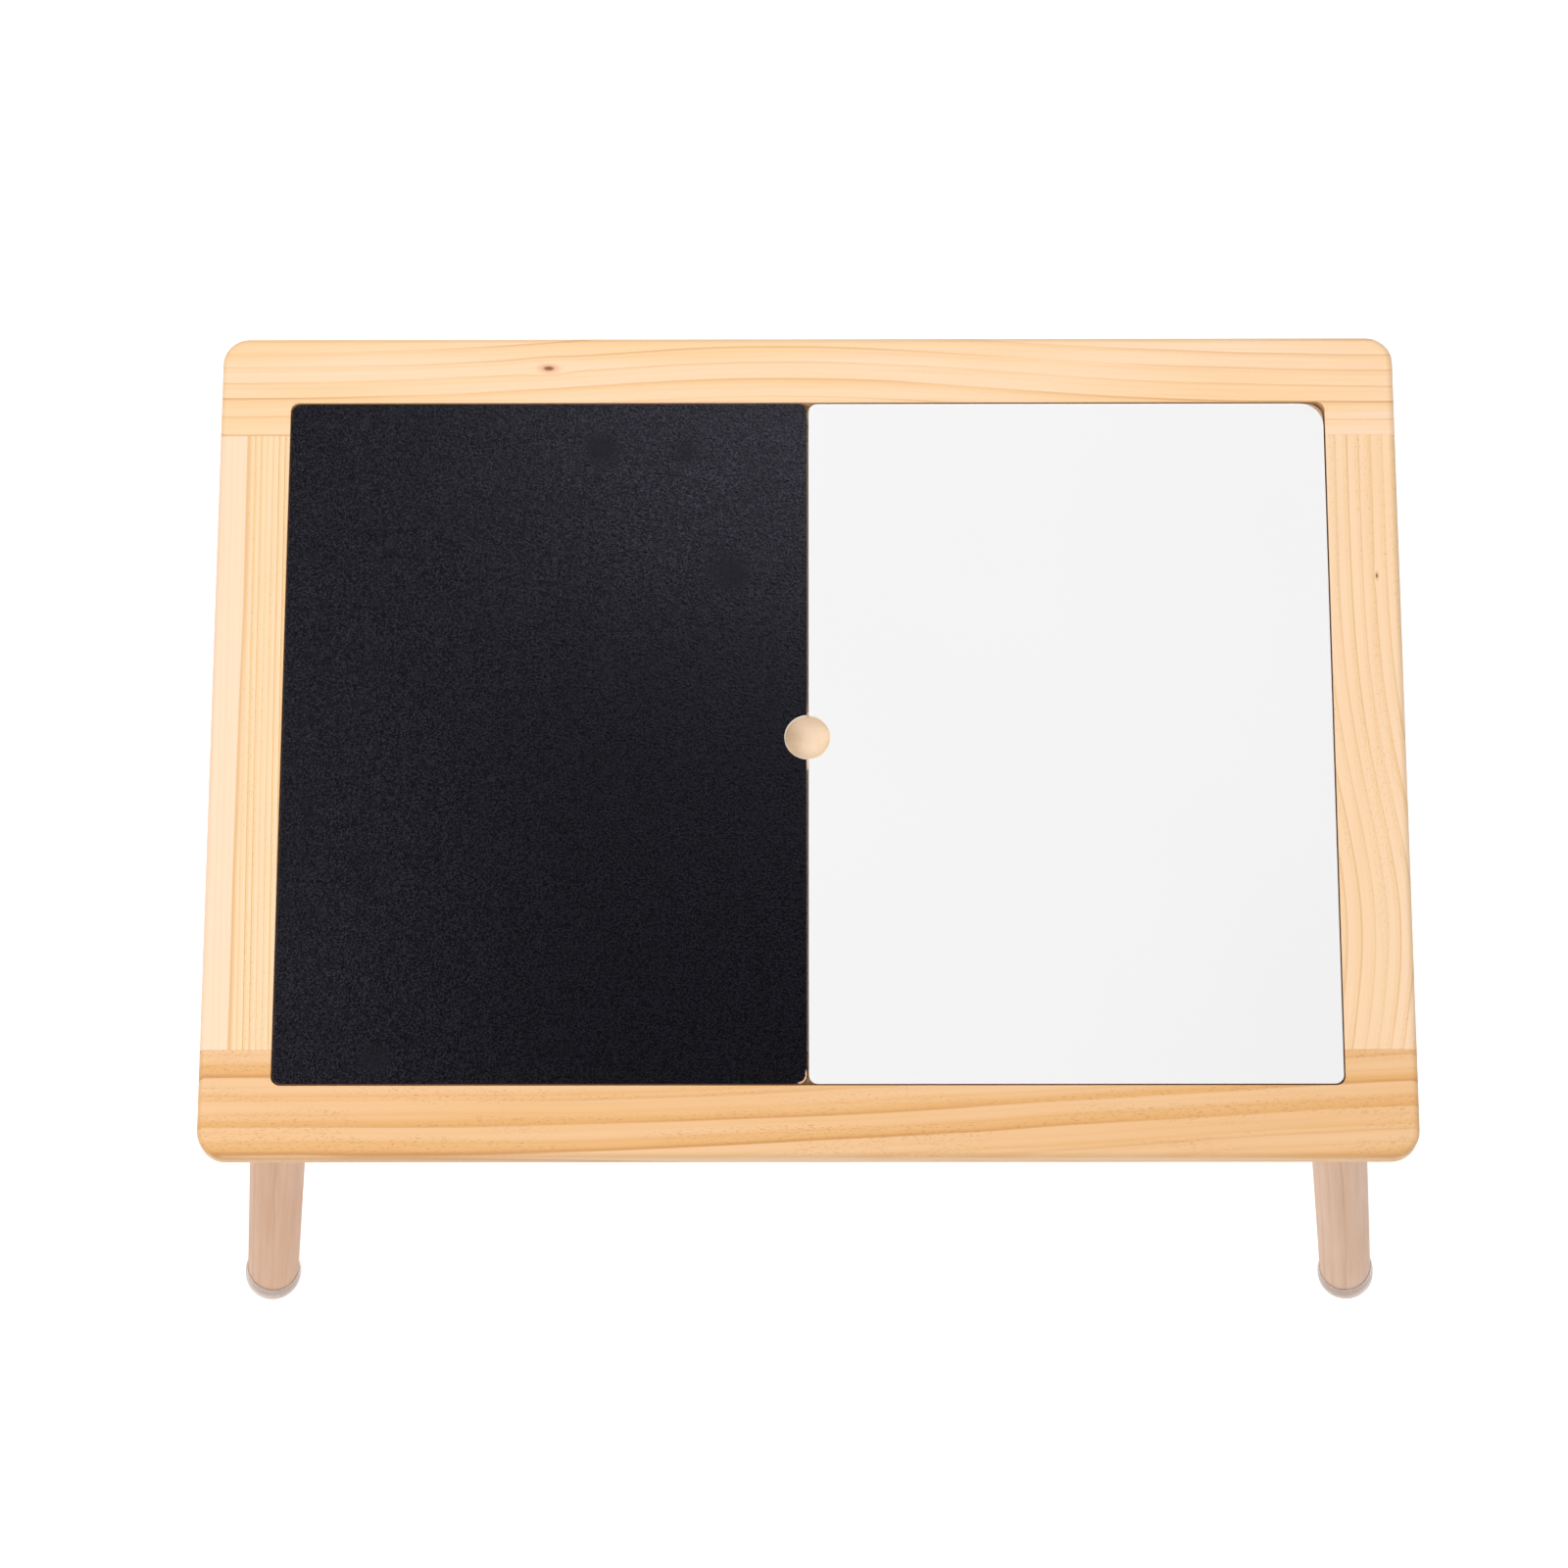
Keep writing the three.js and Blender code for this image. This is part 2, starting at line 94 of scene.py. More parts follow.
class Wire:
    """An output socket in a material's nodes. Arithmetic on wires and numbers adds Math nodes."""

    def __init__(self, tree, socket=None):
        self.tree = tree
        self.socket = socket

    def node(self, kind, settings, inputs):
        """Adds a node, sets it up, then feeds its sockets, and returns its outputs as wires."""
        node = self.tree.nodes.new(kind)
        for name, value in settings.items():
            setattr(node, name, value)
        for name, value in inputs.items():
            if isinstance(value, Wire):
                self.tree.links.new(value.socket, node.inputs[name])
            else:
                node.inputs[name].default_value = value
        return [Wire(self.tree, socket) for socket in node.outputs]

    def maths(self, operation, *others):
        """One Math node on this wire and the others."""
        inputs = dict(enumerate((self, *others)))
        return self.node("ShaderNodeMath", {"operation": operation}, inputs)[0]

    def __add__(self, other):
        return self.maths("ADD", other)

    def __sub__(self, other):
        return self.maths("SUBTRACT", other)

    def __rsub__(self, other):
        return (self * -1) + other

    def __mul__(self, other):
        return self.maths("MULTIPLY", other)

    def __truediv__(self, other):
        return self.maths("DIVIDE", other)

    def __pow__(self, other):
        return self.maths("POWER", other)

    __radd__ = __add__
    __rmul__ = __mul__

    def ease(self, start, end):
        """Goes smoothly from 0 at start to 1 at end."""
        inputs = {"Value": self, "From Min": start, "From Max": end}
        return self.node("ShaderNodeMapRange", {"interpolation_type": "SMOOTHSTEP"}, inputs)[0]

    def noise(self, bumps, detail=2.0, shift=0.0):
        """Soft random values about zero at this place, with so many bumps a metre along each axis."""
        inputs = {"Vector": self, "Scale": bumps, "Location": (shift, 2 * shift, 3 * shift)}
        place = self.node("ShaderNodeMapping", {}, inputs)[0]
        inputs = {"Vector": place, "Scale": 1.0, "Detail": detail}
        return self.node("ShaderNodeTexNoise", {}, inputs)[0] - 0.5

    def tint(self, plain, other):
        """A colour that goes from plain, where this mask is 0, to other, where it is 1."""
        inputs = {0: self, 6: plain, 7: other}
        return self.node("ShaderNodeMix", {"data_type": "RGBA"}, inputs)[2]

    def into(self, shader, name):
        """Joins this wire to one of a shader's sockets."""
        self.tree.links.new(self.socket, shader.inputs[name])


def colour(red, green, blue):
    """An opaque colour, as the shader's sockets take it."""
    return (red, green, blue, 1.0)


def new_finish(name, **uniform):
    """A new material, its shader with these sockets set, and the place on the piece as a wire."""
    material = bpy.data.materials.new(name)
    material.use_nodes = True
    shader = material.node_tree.nodes["Principled BSDF"]
    for socket, value in uniform.items():
        shader.inputs[socket.replace("_", " ")].default_value = value
    place = Wire(material.node_tree).node("ShaderNodeTexCoord", {}, {})[3]
    return material, shader, place


def raise_bumps(height, shader, depth):
    """Feeds the shader's normal from a height, whose 1 stands for depth in metres."""
    inputs = {"Height": height, "Distance": depth, "Strength": 1.0}
    height.node("ShaderNodeBump", {}, inputs)[0].into(shader, "Normal")


def disc(radius, height, sides):
    """One flat round face: points at even angles on a circle."""
    angle = np.arange(sides) * 2 * math.pi / sides
    level = np.full(sides, height)
    return np.stack((radius * np.cos(angle), radius * np.sin(angle), level), axis=1)


def smooth_piece(name, points, faces, material, crease=32):
    """A piece of these points, in metres in the table's frame, shaded smooth up to a crease angle."""
    mesh = bpy.data.meshes.new(name)
    mesh.from_pydata(np.asarray(points).tolist(), [], faces)
    mesh.shade_smooth()
    mesh.set_sharp_from_angle(angle=math.radians(crease))
    mesh.materials.append(material)
    piece = bpy.data.objects.new(name, mesh)
    bpy.context.scene.collection.objects.link(piece)
    return piece


def acrylic():
    """White acrylic, very slightly mottled, and lit from within."""
    material, shader, place = new_finish("white_acrylic", Roughness=0.5)
    mottle = place.noise((3.0, 3.0, 3.0))
    (mottle + 0.5).tint(colour(0.52, 0.52, 0.52), colour(0.56, 0.56, 0.56)).into(shader, "Base Color")
    shader.inputs["Emission Color"].default_value = colour(1.0, 1.0, 1.0)
    shader.inputs["Emission Strength"].default_value = floor_glow
    return material


floor_points = disc(floor_radius, floor_level, floor_sides)
floor = smooth_piece("studio_floor", floor_points, [list(range(floor_sides))], acrylic())


# ---------------------------------------------------------------- studio light
# A softbox over the front edge and one at each side light the top. A long one stands high behind
# the table, so that the black panel mirrors it at its far end. The white room adds an even light.
def softbox(name, place, width, height, watts):
    """A rectangular area light that faces the middle of the table's top."""
    light = bpy.data.lights.new(name, "AREA")
    light.shape = "RECTANGLE"
    light.size = width
    light.size_y = height
    light.energy = watts
    lamp = bpy.data.objects.new(name, light)
    bpy.context.scene.collection.objects.link(lamp)
    target = Vector((0, 0, cad_high.z))
    facing = (Vector(place) - target).to_track_quat("Z", "Y")
    lamp.matrix_world = Matrix.Translation(place) @ facing.to_matrix().to_4x4()
    lamp.visible_camera = False


softbox("overhead_softbox", (-0.7, -1.7, 3.1), width=1.4, height=1.4, watts=45)
softbox("left_softbox", (-1.55, 0.45, 2.8), width=1.2, height=1.6, watts=25)
softbox("right_softbox", (2.3, -0.2, 2.3), width=1.6, height=1.6, watts=10)
softbox("back_softbox", (0.45, 1.42, 3.0), width=1.6, height=0.6, watts=22)

# The walls are seen as plain white, and give the table a softer light than that.
wall_white = 1.04
wall_light = 0.32
room = bpy.data.worlds.new("white_room")
room.use_nodes = True
bpy.context.scene.world = room
room_light = room.node_tree.nodes["Background"]
room_light.inputs["Color"].default_value = colour(1.0, 1.0, 1.0)
seen_directly = Wire(room.node_tree).node("ShaderNodeLightPath", {}, {})[0]
(seen_directly * (wall_white - wall_light) + wall_light).into(room_light, "Strength")


# ---------------------------------------------------------------- front and back boards
# Two full-length boards of clear-lacquered pine, with round outer corners and a rounded outer
# edge. A step routed along the inside edge carries the panels; the side boards butt against them.
board_width = 0.060
ledge_width = 0.020
rebate_depth = 0.008
rebate_corner = 0.005
outer_corner = 0.015
outer_round = 0.004
lip_round = 0.0004
joint_round = 0.00003
flat_land = 0.0006
tiny_corner = 0.0002
corner_points = 9

front_low, front_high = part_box("front_board")
half_length = front_high.x
half_width = -front_low.y
joint_y = -front_high.y
underside = front_low.z
table_top = front_high.z
ledge_z = table_top - rebate_depth
rebate_x = half_length - board_width + ledge_width


def rounded(corners, radii, points=corner_points):
    """An outline through the corners of a polygon, each turned by a quarter round.

    A corner's points run from one radius before it to one radius after it:
    corner - a r (1 - sin t) + b r (1 - cos t), for t from 0 to 90 degrees,
    where a and b are the directions of the sides into and out of the corner.
    """
    corners = np.asarray(corners, float)
    radii = np.asarray(radii, float)[:, None, None]
    into = corners - np.roll(corners, 1, axis=0)
    into = (into / np.linalg.norm(into, axis=1, keepdims=True))[:, None]
    out = np.roll(into, -1, axis=0)
    t = np.linspace(0, math.pi / 2, points)[None, :, None]
    path = corners[:, None] - into * radii * (1 - np.sin(t)) + out * radii * (1 - np.cos(t))
    return path.reshape(-1, 2)


def stacked(rings, closed=False):
    """Points and faces of a body whose skin is a stack of rings of points.

    Each ring is joined to the next by a band of four-sided faces. The first and last rings are
    filled flat, or are joined to each other when the stack is closed.
    """
    rings = np.asarray(rings)
    count, size = rings.shape[:2]
    here = np.arange(size)
    ahead = np.roll(here, -1)
    base = (np.arange(count if closed else count - 1) * size)[:, None]
    over = (base + size) % (count * size)
    bands = np.stack((base + here, base + ahead, over + ahead, over + here), axis=-1)
    faces = bands.reshape(-1, 4).tolist()
    if not closed:
        faces += [here[::-1].tolist(), (here + (count - 1) * size).tolist()]
    return rings.reshape(-1, 3), faces


def quarter(points=8):
    """Sines and cosines of even steps from 0 to 90 degrees, for a rounded edge."""
    t = np.linspace(0, math.pi / 2, points)
    return list(zip(np.sin(t), np.cos(t)))


def long_board_ring(edge_in, edge_z, lip_in, lip_z, joint_in, stepped):
    """A long board's outline at one stage of its height, at the front of the table.

    The outer sides are moved in by edge_in and the joint side by joint_in. Above the ledge the
    outline is stepped round the panels' recess, moved out by lip_in.
    """
    x, y = half_length - edge_in, half_width - edge_in
    joint = joint_y + joint_in
    end = rebate_x + lip_in
    turn_x = end if stepped else end - 2 * rebate_corner
    turn_y = joint_y + ledge_width + lip_in if stepped else joint
    corners = [
        (-x, -y), (x, -y), (x, -joint), (end, -joint),
        (turn_x, -turn_y), (-turn_x, -turn_y), (-end, -joint), (-x, -joint),
    ]
    big, small, inner = outer_corner - edge_in, tiny_corner, rebate_corner + lip_in
    outline = rounded(corners, [big, big, small, small, inner, inner, small, small])
    levels = np.repeat([edge_z] * 3 + [lip_z] * 4 + [edge_z], corner_points)
    return np.column_stack((outline, levels))


def long_board_rings():
    """The front board, from its underside up: rounded edge, ledge, recess and rounded edge."""
    rings = [long_board_ring(outer_round + flat_land, underside, 0, underside, 2 * flat_land, False)]
    for s, c in quarter():
        rings.append(long_board_ring(
            outer_round * (1 - s), underside + outer_round * (1 - c),
            0, underside + lip_round * (1 - c), lip_round * (1 - s), False))
    rings.append(long_board_ring(0, ledge_z, 0, ledge_z, 0, False))
    rings.append(long_board_ring(0, ledge_z + lip_round, 0, ledge_z, 0, True))
    for s, c in quarter():
        rings.append(long_board_ring(
            outer_round * (1 - c), table_top - outer_round * (1 - s),
            lip_round * (1 - c), table_top - lip_round * (1 - s), joint_round * (1 - c), True))
    last = [outer_round + flat_land, table_top, lip_round + flat_land, table_top, joint_round + flat_land]
    rings.append(long_board_ring(*last, True))
    return np.array(rings)


def pine(name, middle, along, pith=(0.1, -0.09), ring=0.0075, lean=0.0, hump=(0.0, 1.0, 0.0),
         sway=0.012, bands=0.5, lines=0.6, flecks=0.5, seed=0.0, knot=None, vein=None,
         pale=(0.90, 0.655, 0.46), warm=(0.87, 0.585, 0.33), gold=(0.83, 0.52, 0.25),
         dark=(0.60, 0.30, 0.10), pinkish=(0.90, 0.65, 0.47)):
    """Lacquered pine, grown as a solid: growth rings about a wandering pith.

    The piece's middle and direction place the trunk. The ring count at a point is its distance
    from the pith over the ring width; each ring turns golden slowly and ends in a sharp dark line.
    The pith drifts with a lean, a hump (centre, length, height along the board) and slow noise.
    A knot is (along, across, radius), and pushes the rings aside. A vein is the place across the
    board of one strong resin line, past which the wood is plain and pinkish.
    """
    material, shader, place = new_finish(name, Specular_IOR_Level=0.4)
    turn = Vector((1, 0, 0)).rotation_difference(Vector(along)).to_euler()
    inputs = {"Vector": place, "Location": middle, "Rotation": turn}
    local = place.node("ShaderNodeMapping", {"vector_type": "TEXTURE"}, inputs)[0]
    x, y, z = local.node("ShaderNodeSeparateXYZ", {}, {0: local})

    # How far the place is from the pith, and which ring it is in.
    centre, length, height = hump
    rise = (((x - centre) / length) ** 2 * -1).maths("EXPONENT") * height
    across = y - pith[0] - x * lean - rise + local.noise((1.7, 5.0, 5.0), 1.0, seed) * sway
    depth = z - pith[1] + local.noise((2.3, 6.0, 6.0), 1.0, seed + 3.7) * sway
    if knot:
        off_x, off_y = (x - knot[0]) / 2.2, y - knot[1]
        gap = (off_x * off_x + off_y * off_y) ** 0.5
        push = (gap * gap / (-18.0 * knot[2] ** 2)).maths("EXPONENT") * (1.6 * knot[2])
        across = across - push * off_y / (off_y.maths("ABSOLUTE") + knot[2])
    ripple = local.noise((5.0, 60.0, 60.0), 2.0, seed) * 0.30
    count = (across * across + depth * depth) ** 0.5 / ring + ripple

    # Each ring's slow golden band, its dark line and a thinner ring between.
    phase = count.maths("FRACT")
    number = count.maths("FLOOR") + seed
    chance = number.node("ShaderNodeTexWhiteNoise", {"noise_dimensions": "1D"}, {"W": number})[0]
    band = phase.ease(0.2, 0.9) * phase.ease(1.0, 0.9) * (chance * 0.6 + 0.4)
    fade = local.noise((4.0, 30.0, 30.0), 1.0, seed + 8.0).ease(-0.25, 0.1)
    line = phase.ease(0.80, 0.93) * phase.ease(1.0, 0.95) * (chance * 0.7 + 0.3) * fade
    half_ring = (count * 2.7 + ripple).maths("FRACT")
    thin = half_ring.ease(0.3, 0.9) * half_ring.ease(1.0, 0.9) * 0.3

    # Fine marks along the grain, and resin flecks gathered in patches.
    fibre = local.noise((16.0, 1100.0, 1100.0), 3.0, seed)
    cloud = local.noise((4.0, 34.0, 34.0), 2.0, seed + 1.3)
    streak = local.noise((5.0, 210.0, 210.0), 2.0, seed + 2.1)
    pore = local.noise((480.0, 2600.0, 2600.0), 0.0, seed)
    patch = local.noise((9.0, 60.0, 60.0), 2.0, seed + 5.1)
    dash = pore.ease(0.13, 0.26) * (patch + band * 0.22).ease(-0.02, 0.14) * flecks

    # The colours, laid one over another from the palest to the darkest.
    base = (cloud * 2.4 + 0.5).ease(0.0, 1.0).tint(colour(*pale), colour(*warm))
    golden = ((band + thin) * bands + streak * 0.35).ease(0.0, 1.0).tint(base, colour(*gold))
    grain = (line * lines + fibre * 0.18 + streak * 0.1).maths("MAXIMUM", 0.0).tint(golden, colour(*dark))
    final = dash.tint(grain, colour(0.47, 0.23, 0.09))
    if vein:
        edge = y - vein + local.noise((6.0, 30.0, 30.0), 1.0, seed + 6.0) * 0.003
        final = (edge.ease(-0.0004, 0.0006) * 0.75).tint(final, colour(*pinkish))
        stripe = edge.ease(-0.0035, 0.0) * edge.ease(0.0007, 0.0)
        final = (stripe * 0.6).tint(final, colour(*dark))
    if knot:
        ring_mask = gap.ease(knot[2] * 2.6, knot[2] * 0.9) * 0.5
        core_mask = gap.ease(knot[2] * 1.15, knot[2] * 0.45)
        final = ring_mask.tint(final, colour(0.62, 0.28, 0.13))
        final = core_mask.tint(final, colour(0.27, 0.085, 0.035))
    final.into(shader, "Base Color")
    (fibre * 0.25 + streak * 0.2 + 0.46).into(shader, "Roughness")
    raise_bumps(band * 0.4 + fibre + dash * -1.0, shader, 0.00006)
    return material


front_pine = pine("front_board_pine", (0, (front_low.y + front_high.y) / 2, table_top), (1, 0, 0),
                  pith=(0.085, -0.05), ring=0.0125, hump=(0.42, 0.34, 0.030), sway=0.010,
                  bands=0.9, lines=0.8, flecks=0.6, seed=4.2,
                  pale=(0.79, 0.495, 0.265), warm=(0.77, 0.455, 0.21), gold=(0.72, 0.385, 0.135),
                  dark=(0.55, 0.25, 0.07))
back_low, back_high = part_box("back_board")
back_pine = pine("back_board_pine", (0, (back_low.y + back_high.y) / 2, table_top), (1, 0, 0),
                 pith=(-0.075, -0.04), ring=0.0085, hump=(-0.015, 0.16, 0.016), sway=0.012,
                 bands=0.75, lines=0.9, flecks=0.1, seed=11.4, knot=(-0.148, 0.011, 0.0016),
                 pale=(0.885, 0.63, 0.43), warm=(0.86, 0.57, 0.31))

front_rings = long_board_rings()
back_rings = (front_rings * (1, -1, 1))[:, ::-1]
for name, rings, finish in (("front", front_rings, front_pine), ("back", back_rings, back_pine)):
    piece = smooth_piece(f"{name}_rail", *stacked(rings), finish)
    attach(piece, "table")
    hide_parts(f"{name}_board")


# ---------------------------------------------------------------- side boards
# Two shorter pine boards, butted between the long ones and held by dowels in the joints. Their
# outside edge is rounded like the long boards' and their inside edge has the same step.
def side_board_rings(outer_x, inner_x, reach):
    """The right board: a rectangle whose outer side moves in over the rounds, bottom and top."""
    step_x = inner_x + ledge_width

    def ring(edge_in, edge_z, inner, inner_z, end_in):
        x, y = outer_x - edge_in, reach - end_in
        outline = rounded([(inner, -y), (x, -y), (x, y), (inner, y)], [tiny_corner] * 4, 3)
        return np.column_stack((outline, np.repeat([inner_z, edge_z, edge_z, inner_z], 3)))

    land = outer_round + flat_land
    rings = [ring(land, underside, inner_x + 2 * flat_land, underside, 2 * flat_land)]
    for s, c in quarter():
        lip = lip_round * (1 - s)
        rings.append(ring(outer_round * (1 - s), underside + outer_round * (1 - c),
                          inner_x + lip, underside + lip_round * (1 - c), lip))
    rings.append(ring(0, ledge_z, inner_x, ledge_z, 0))
    rings.append(ring(0, ledge_z + lip_round, step_x, ledge_z, 0))
    for s, c in quarter():
        rings.append(ring(outer_round * (1 - c), table_top - outer_round * (1 - s),
                          step_x + lip_round * (1 - c), table_top - lip_round * (1 - s),
                          joint_round * (1 - c)))
    rings.append(ring(land, table_top, step_x + lip_round + flat_land, table_top, joint_round + flat_land))
    return np.array(rings)


joint_line = 0.00001
right_rings = side_board_rings(half_length, half_length - board_width, joint_y - joint_line)
left_rings = (right_rings * (-1, 1, 1))[:, ::-1]
board_middle = half_length - board_width / 2
left_pine = pine("left_board_pine", (-board_middle, 0, table_top), (0, 1, 0),
                 pith=(-0.10, -0.03), ring=0.0033, lean=0.012, sway=0.004, bands=0.8,
                 lines=1.1, flecks=0.3, seed=7.9, vein=0.0139,
                 pale=(0.875, 0.63, 0.41), warm=(0.87, 0.60, 0.34), gold=(0.82, 0.53, 0.25),
                 dark=(0.66, 0.36, 0.13))
right_pine = pine("right_board_pine", (board_middle, 0, table_top), (0, 1, 0),
                  pith=(0.052, -0.025), ring=0.0062, hump=(-0.11, 0.10, -0.020), sway=0.011, bands=0.65,
                  lines=0.65, flecks=0.35, seed=2.6, knot=(0.095, -0.0166, 0.0007),
                  pale=(0.86, 0.61, 0.395), warm=(0.85, 0.58, 0.345), gold=(0.81, 0.53, 0.275),
                  dark=(0.60, 0.33, 0.13))
for name, rings, finish in (("left", left_rings, left_pine), ("right", right_rings, right_pine)):
    piece = smooth_piece(f"{name}_rail", *stacked(rings), finish)
    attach(piece, "table")
    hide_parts(f"{name}_board")


# ---------------------------------------------------------------- centre bar
# A pine bar that spans the frame under the joint between the panels. A round dish is scooped in
# its middle, so that a fingertip can get under the panels' edges.
bar_low, bar_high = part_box("centre_bar")
dish_radius = 0.017
dish_depth = 0.010
bar_edge = 0.0006
small_round = 4


def bar_rings():
    """The bar's sides from a rectangle, and its top from rings that shrink into the dish.

    The dish is part of a ball: at a distance r from its middle it lies at
    sqrt(ball squared - r squared) below the ball's centre.
    """
    reach = joint_y - joint_line

    def box_ring(inset, height):
        x, y = bar_high.x - inset, reach - inset
        outline = rounded([(-x, -y), (x, -y), (x, y), (-x, y)], [bar_edge] * 4, 16)
        return np.column_stack((outline, np.full(len(outline), height)))

    rings = [box_ring(bar_edge + flat_land, bar_low.z)]
    rings += [box_ring(bar_edge * (1 - s), bar_low.z + bar_edge * (1 - c)) for s, c in quarter(small_round)]
    rings += [box_ring(bar_edge * (1 - c), bar_high.z - bar_edge * (1 - s)) for s, c in quarter(small_round)]
    rings.append(box_ring(bar_edge + flat_land, bar_high.z))
    size = len(rings[0])
    angle = (np.arange(size) + 0.5) * 2 * math.pi / size - math.pi
    ball = (dish_radius ** 2 + dish_depth ** 2) / (2 * dish_depth)
    shares = [1.03, 1.0, 0.97, *np.linspace(0.9, 0.1, 9), 0.03]
    for r in dish_radius * np.array(shares):
        sag = math.sqrt(ball ** 2 - r ** 2) - (ball - dish_depth)
        level = np.full(size, bar_high.z - max(sag, 0.0))
        rings.append(np.stack((r * np.cos(angle), r * np.sin(angle), level), axis=1))
    return np.array(rings)


# The bar's pine is painted paler than the boards', as painted light that lifts the shade in the dish under
# the finger hole.
brightened_bar_pine = pine("centre_bar_pine_painted_light", (0, 0, bar_high.z), (0, 1, 0), pith=(0.03, -0.055),
                ring=0.006, bands=0.15, lines=0.05, flecks=0.2, seed=15.5,
                pale=(0.98, 0.80, 0.62), warm=(0.97, 0.77, 0.56))
bar = smooth_piece("finger_dish_bar", *stacked(bar_rings()), brightened_bar_pine)
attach(bar, "table")
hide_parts("centre_bar")


# ---------------------------------------------------------------- panels
# Each panel is a fibreboard core with a film on both faces, routed to size with the films on, so
# the edges show brown board between two thin skins. Half a finger hole is cut in its inner edge.
finger_radius = 0.0125
panel_corner = 0.005
film_round = 0.00018
film_setback = 0.0005
core_inset = 0.00012
pale_ring_full = 0.0008
pale_ring_end = 0.0015
notch_points = 41

# Wear. The white panel's far outer corner is rubbed round, and its films have torn back further.
# The black film has a chip at its near inner corner, and smudges, each (x, y, size).
worn_corner = 0.009
torn_corner = 0.0135
chip_centre = (-0.0056, -0.1942)
chip_width = (0.0010, 0.0007)
chip_start = (-0.0062, -0.1905)
chip_full = (-0.0040, -0.1935)
smudges = (
    (-0.117, 0.171, 0.014), (-0.069, 0.171, 0.012), (-0.044, 0.097, 0.016), (-0.239, -0.185, 0.012),
)


def panel_ring(low, high, inset, level, far_corner, setback):
    """The right panel's outline: a rectangle with round corners and an arc out of its inner side.

    The setback is how far the films stop short of the finger hole's edge.
    """
    x0, x1, y = low.x + inset, high.x - inset, high.y - inset
    radii = [panel_corner - inset, panel_corner - inset, far_corner - inset, panel_corner - inset]
    outline = rounded([(x0, -y), (x1, -y), (x1, y), (x0, y)], radii)
    radius = finger_radius + setback + inset
    reach = math.acos(x0 / radius)
    angle = np.linspace(reach, -reach, notch_points)
    notch = radius * np.stack((np.cos(angle), np.sin(angle)), axis=1)
    outline = np.concatenate((outline, notch))
    return np.column_stack((outline, np.full(len(outline), level)))


def panel_layer(node, side, edge, inset, setback, z0, z1):
    """One layer between two heights, its edges eased by a small round; the left panel is mirrored."""
    low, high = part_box(node)
    if side == "left":
        low, high = Vector((-high.x, low.y, low.z)), Vector((-low.x, high.y, high.z))
    worn = torn_corner if setback else worn_corner
    far = worn if side == "right" else panel_corner
    stages = [(edge + flat_land, z0)]
    stages += [(edge * (1 - s), z0 + edge * (1 - c)) for s, c in quarter(small_round)]
    stages += [(edge * (1 - c), z1 - edge * (1 - s)) for s, c in quarter(small_round)]
    stages += [(edge + flat_land, z1)]
    rings = [panel_ring(low, high, inset + back, level, far, setback) for back, level in stages]
    rings = np.array(rings)
    if side == "left":
        rings = (rings * (-1, 1, 1))[:, ::-1]
    return stacked(rings)


def chalk_film():
    """Black chalkboard film: a fine bluish tooth, painted paler towards the back and the outer side, as
    chalk dust and as a painted sheen of the softboxes' glancing reflection.

    One corner is chipped to the board: the chip is the strip outside a round that is a little
    tighter than the corner's own. A smudge fades as e to the minus (distance / size) squared.
    """
    material, shader, place = new_finish(
        "chalk_film", Specular_IOR_Level=0.16, Specular_Tint=colour(0.84, 0.82, 1.0))
    x, y, _ = place.node("ShaderNodeSeparateXYZ", {}, {0: place})

    def spot(centre_x, centre_y, size):
        """1 at a place on the film, fading to 0 at about twice the size away."""
        return (((x - centre_x) ** 2 + (y - centre_y) ** 2) / (-size * size)).maths("EXPONENT")

    tooth = place.noise((900.0, 900.0, 900.0), 2.0)
    speck = place.noise((1000.0, 1000.0, 1000.0), 2.0, 4.0)
    blotch = place.noise((30.0, 30.0, 30.0), 3.0, 1.7)
    smudge = (sum(spot(*smudge) for smudge in smudges) * (blotch + 0.5)).ease(0.15, 0.6)
    # The film is painted paler towards the outer side and the back: chalk dust, and a painted sheen that
    # stands in for the softboxes' glancing reflection.
    outer_dust_and_sheen = x.ease(-0.10, -0.29) * 0.40
    back_dust_and_sheen = y.ease(-0.02, 0.19) * x.ease(-0.28, -0.05)
    dust_and_sheen = (outer_dust_and_sheen + back_dust_and_sheen) * (blotch * 0.8 + 0.8)
    dusty_sheen = dust_and_sheen.tint(colour(0.0020, 0.0020, 0.0045), colour(0.052, 0.050, 0.068))
    base = speck.ease(-0.05, 0.25).tint(colour(0.0002, 0.0002, 0.0008), dusty_sheen)
    stained = (smudge * 0.7).tint(base, colour(0.001, 0.001, 0.002))
    side_gap = (x - chip_centre[0]).maths("MAXIMUM", 0.0)
    front_gap = (chip_centre[1] - y).maths("MAXIMUM", 0.0)
    rim = (side_gap * side_gap + front_gap * front_gap) ** 0.5 + tooth * 0.0012
    near = x.ease(chip_start[0], chip_full[0]) * y.ease(chip_start[1], chip_full[1])
    chip = rim.ease(panel_corner - chip_width[0], panel_corner - chip_width[1]) * near
    chip.tint(stained, colour(0.72, 0.46, 0.26)).into(shader, "Base Color")
    (speck * 0.6 + smudge * 0.12 + 0.26).into(shader, "Roughness")
    raise_bumps(tooth, shader, 0.00016)
    return material


def dry_wipe_film():
    """White dry-wipe film: satin and very slightly clouded, with hair-fine wiping marks."""
    material, shader, place = new_finish("dry_wipe_film", Specular_IOR_Level=0.2)
    cloud = place.noise((5.0, 5.0, 5.0), 2.0)
    wipe = place.noise((40.0, 700.0, 40.0), 3.0, 2.2)
    white = (cloud + 0.5).tint(colour(0.758, 0.752, 0.754), colour(0.784, 0.782, 0.782))
    white.into(shader, "Base Color")
    (wipe * 0.12 + 0.34).into(shader, "Roughness")
    raise_bumps(place.noise((420.0, 420.0, 420.0), 2.0), shader, 0.00002)
    return material


